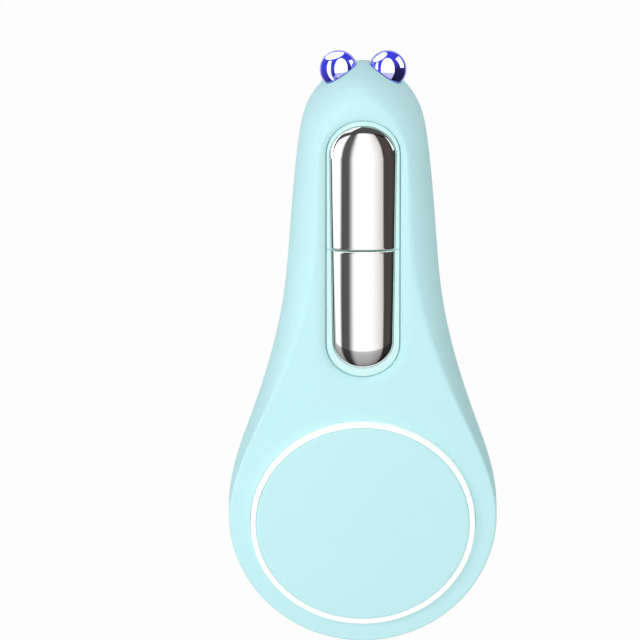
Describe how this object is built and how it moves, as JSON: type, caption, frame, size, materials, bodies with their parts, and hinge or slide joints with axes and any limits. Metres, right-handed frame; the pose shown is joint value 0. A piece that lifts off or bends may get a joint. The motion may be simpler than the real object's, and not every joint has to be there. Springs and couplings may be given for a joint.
{
  "type": "microcurrent eye device",
  "caption": "Hand-held pear-shaped skin device with a large round push button in a light ring, a long metal contact bar along its neck and small metal ball contacts at the head.",
  "frame": {"origin": "on the flat back, straight below the middle of the button", "axes": "+Y from the base to the head, +Z out of the front face, +X across the body"},
  "size_m": [0.0446, 0.1052, 0.0269],
  "materials": {
    "mint_silicone": "soft matte silicone",
    "mint_button": "soft matte silicone",
    "ring_white": "smooth diffuser plastic",
    "chrome": "mirror-polished plating",
    "tinted_chrome": "blue-violet mirror plating",
    "tray_mint": "smooth moulded plastic",
    "casing_white": "moulded plastic",
    "seal_grey": "soft rubber",
    "cushion_foam": "soft foam",
    "socket_black": "moulded plastic",
    "board_green": "solder mask",
    "chip_black": "moulded package",
    "ferrite_grey": "ferrite with varnish",
    "capacitor_metal": "bare can",
    "led_clear": "clear resin",
    "plunger_red": "moulded plastic",
    "battery_foil": "laminated foil pouch",
    "steel": "plain steel",
    "lead_red": "insulated wire",
    "lead_white": "insulated wire"
  },
  "bodies": {
    "body": {"silicone_sleeve": "mint_silicone", "light_ring": "ring_white", "upper_electrode": "chrome", "lower_electrode": "chrome", "electrode_tray": "tray_mint", "left_sphere": "tinted_chrome", "right_sphere": "tinted_chrome", "front_shell": "casing_white", "rear_shell": "casing_white", "shell_seal": "seal_grey", "sphere_cradle": "casing_white", "button_cushion": "cushion_foam", "switch_body": "socket_black", "main_board": "board_green", "controller_chip": "chip_black", "boost_transformer": "ferrite_grey", "board_capacitors": "capacitor_metal", "status_leds": "led_clear", "battery_cell": "battery_foil", "battery_pad": "cushion_foam", "charging_socket": "socket_black", "motor_can": "steel", "motor_end_cap": "socket_black", "motor_boot": "seal_grey", "shell_screws": "steel", "board_screws": "steel", "sphere_leads": "lead_white", "electrode_leads": "lead_red", "battery_leads": "lead_red", "motor_leads": "lead_red", "socket_leads": "lead_white"},
    "button": {"button_cap": "mint_button", "button_carrier": "casing_white"},
    "plunger": {"switch_plunger": "plunger_red"},
    "rotor": {"motor_shaft": "steel", "eccentric_weight": "steel"}
  },
  "joints": [
    {"name": "button_press", "type": "slide", "parent": "body", "child": "button", "axis": [0, 0, -1], "range_m": [0, 0.0005], "stiffness_N_per_m": 3000, "deforming": ["button_cushion"]},
    {"name": "plunger_press", "type": "slide", "parent": "body", "child": "plunger", "axis": [0, 0, -1], "range_m": [0, 0.0005]},
    {"name": "motor_spin", "type": "hinge", "parent": "body", "child": "rotor", "pos_m": [0, 0.054, 0.0115], "axis": [0, 1, 0], "continuous": true}
  ],
  "couplings": [
    {"joint": "plunger_press", "follows": "button_press", "ratio": 1}
  ]
}
